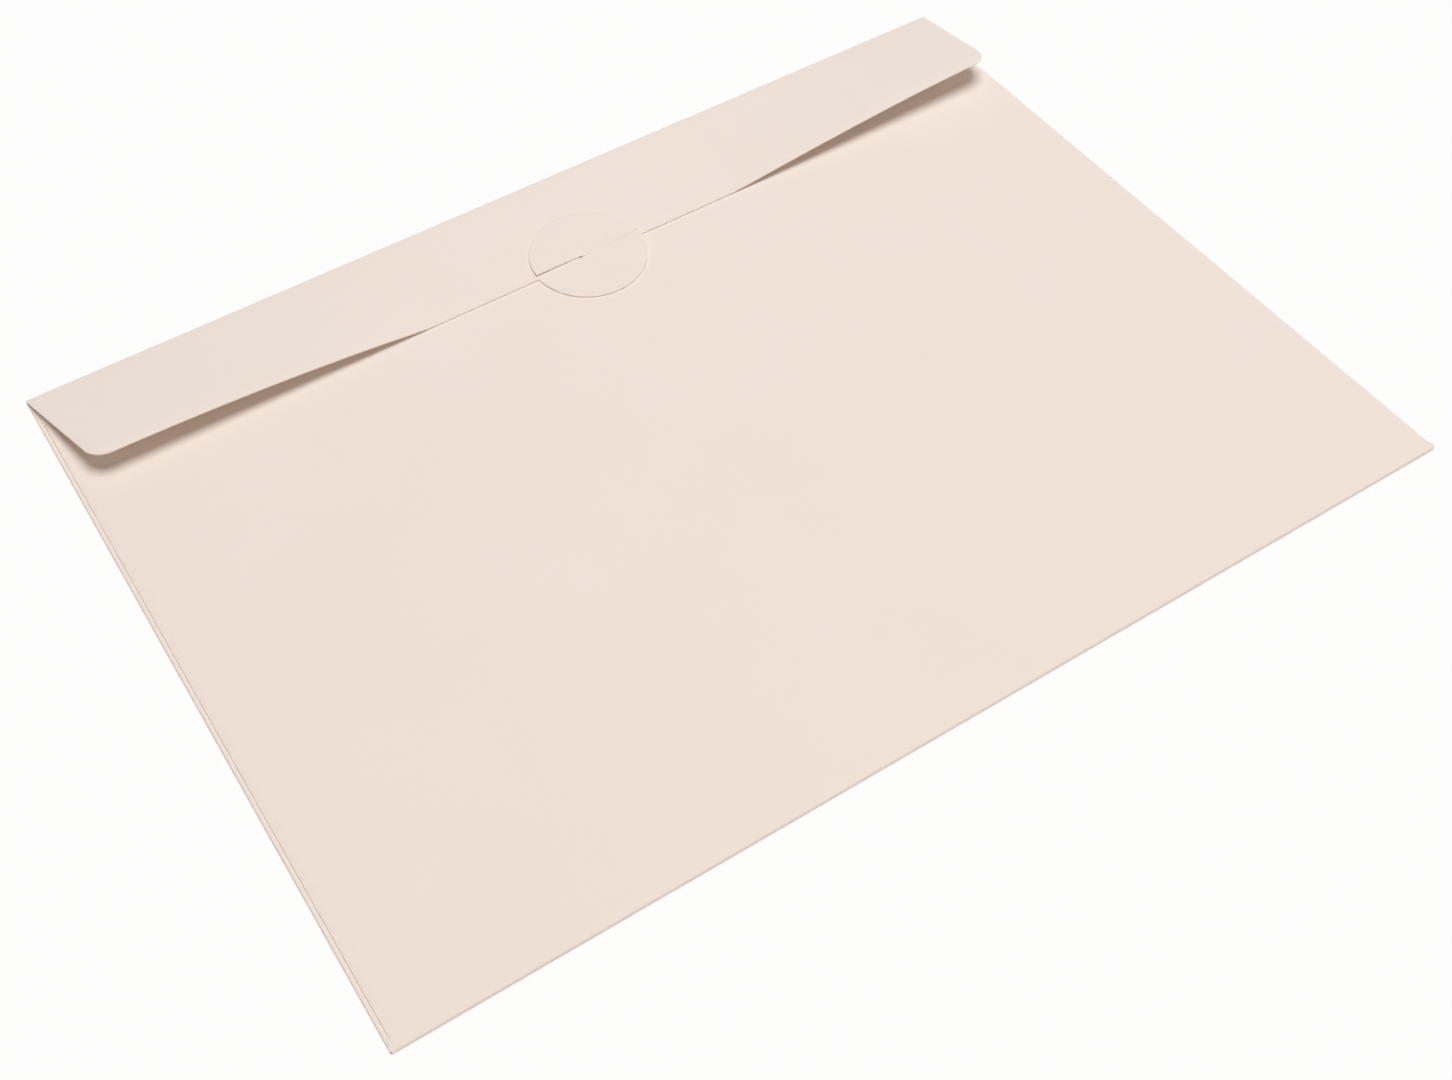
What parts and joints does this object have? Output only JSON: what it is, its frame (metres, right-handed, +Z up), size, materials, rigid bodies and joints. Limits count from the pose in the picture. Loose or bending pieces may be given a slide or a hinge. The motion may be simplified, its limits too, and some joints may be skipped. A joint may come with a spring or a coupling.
{
  "type": "photo folder",
  "caption": "Landscape card folder for prints, closed: a flat pocket with side glue tabs under a long flap whose half-moon tongue interlocks with a half-moon tab on the front panel.",
  "frame": {"origin": "centre of the bounding box's bottom face, where the back panel lies on a table", "axes": "+X along the long side, +Y from the bottom fold to the top fold that carries the flap, +Z up out of the front panel"},
  "size_m": [0.31, 0.22, 0.0093],
  "materials": {
    "uncoated_card": "matte uncoated"
  },
  "bodies": {
    "root": {"folded_card": "uncoated_card"}
  },
  "joints": []
}
